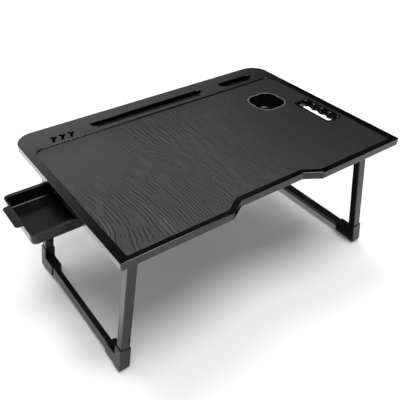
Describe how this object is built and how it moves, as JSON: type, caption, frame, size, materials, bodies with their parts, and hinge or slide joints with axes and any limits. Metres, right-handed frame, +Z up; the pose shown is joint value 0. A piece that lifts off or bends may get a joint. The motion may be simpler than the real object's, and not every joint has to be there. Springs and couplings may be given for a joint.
{
  "type": "laptop table",
  "caption": "Folding lap desk: a board with device slots, cup well and carry handle on two fold-in leg frames, with a small drawer sliding out at the left.",
  "frame": {"origin": "centre of the bounding box at floor level, with the legs unfolded and the drawer open as in the picture", "axes": "+Z up, -Y towards the user (the notched front edge), +X towards the cup well and carry handle; the drawer opens towards -X"},
  "size_m": [0.6912, 0.42, 0.286],
  "materials": {
    "black_wrap": "smooth satin black film wrapped over fibreboard",
    "wood_grain_film": "embossed charcoal wood-grain film",
    "black_moulded_plastic": "fine-textured moulded black",
    "black_powder_coat": "satin black powder coat on steel",
    "zinc_plated_steel": "zinc plated",
    "black_rubber": "matt rubber"
  },
  "bodies": {
    "tabletop": {"cup_holder_well": "black_moulded_plastic", "front_drawer_rail": "black_moulded_plastic", "front_rail_screw_1": "zinc_plated_steel", "front_rail_screw_2": "zinc_plated_steel", "front_rail_screw_3": "zinc_plated_steel", "handle_insert": "black_moulded_plastic", "left_front_bracket_screw_1": "zinc_plated_steel", "left_front_bracket_screw_2": "zinc_plated_steel", "left_front_bracket_screw_3": "zinc_plated_steel", "left_front_bracket_screw_4": "zinc_plated_steel", "left_front_hinge_bracket": "black_powder_coat", "left_front_pivot_pin": "zinc_plated_steel", "left_rear_bracket_screw_1": "zinc_plated_steel", "left_rear_bracket_screw_2": "zinc_plated_steel", "left_rear_bracket_screw_3": "zinc_plated_steel", "left_rear_bracket_screw_4": "zinc_plated_steel", "left_rear_hinge_bracket": "black_powder_coat", "left_rear_pivot_pin": "zinc_plated_steel", "rear_drawer_rail": "black_moulded_plastic", "rear_rail_screw_1": "zinc_plated_steel", "rear_rail_screw_2": "zinc_plated_steel", "rear_rail_screw_3": "zinc_plated_steel", "right_front_bracket_screw_1": "zinc_plated_steel", "right_front_bracket_screw_2": "zinc_plated_steel", "right_front_bracket_screw_3": "zinc_plated_steel", "right_front_bracket_screw_4": "zinc_plated_steel", "right_front_hinge_bracket": "black_powder_coat", "right_front_pivot_pin": "zinc_plated_steel", "right_rear_bracket_screw_1": "zinc_plated_steel", "right_rear_bracket_screw_2": "zinc_plated_steel", "right_rear_bracket_screw_3": "zinc_plated_steel", "right_rear_bracket_screw_4": "zinc_plated_steel", "right_rear_hinge_bracket": "black_powder_coat", "right_rear_pivot_pin": "zinc_plated_steel", "tabletop_board": "black_wrap", "wood_grain_panel": "wood_grain_film"},
    "drawer": {"drawer_tray": "black_moulded_plastic"},
    "left_leg": {"left_foot_bar": "black_powder_coat", "left_front_corner_socket": "black_moulded_plastic", "left_front_foot_pad": "black_rubber", "left_front_hinge_plug": "black_moulded_plastic", "left_front_leg_tube": "black_powder_coat", "left_rear_corner_socket": "black_moulded_plastic", "left_rear_foot_pad": "black_rubber", "left_rear_hinge_plug": "black_moulded_plastic", "left_rear_leg_tube": "black_powder_coat"},
    "right_leg": {"right_foot_bar": "black_powder_coat", "right_front_corner_socket": "black_moulded_plastic", "right_front_foot_pad": "black_rubber", "right_front_hinge_plug": "black_moulded_plastic", "right_front_leg_tube": "black_powder_coat", "right_rear_corner_socket": "black_moulded_plastic", "right_rear_foot_pad": "black_rubber", "right_rear_hinge_plug": "black_moulded_plastic", "right_rear_leg_tube": "black_powder_coat"}
  },
  "joints": [
    {"name": "left_leg_fold", "type": "hinge", "parent": "tabletop", "child": "left_leg", "pos_m": [-0.21856, 0, 0.251], "axis": [0, -1, 0], "range_deg": [0, 99]},
    {"name": "right_leg_fold", "type": "hinge", "parent": "tabletop", "child": "right_leg", "pos_m": [0.2961, 0, 0.251], "axis": [0, 1, 0], "range_deg": [0, 99]},
    {"name": "drawer_slide", "type": "slide", "parent": "tabletop", "child": "drawer", "axis": [-1, 0, 0], "range_m": [-0.072, 0.048]}
  ]
}
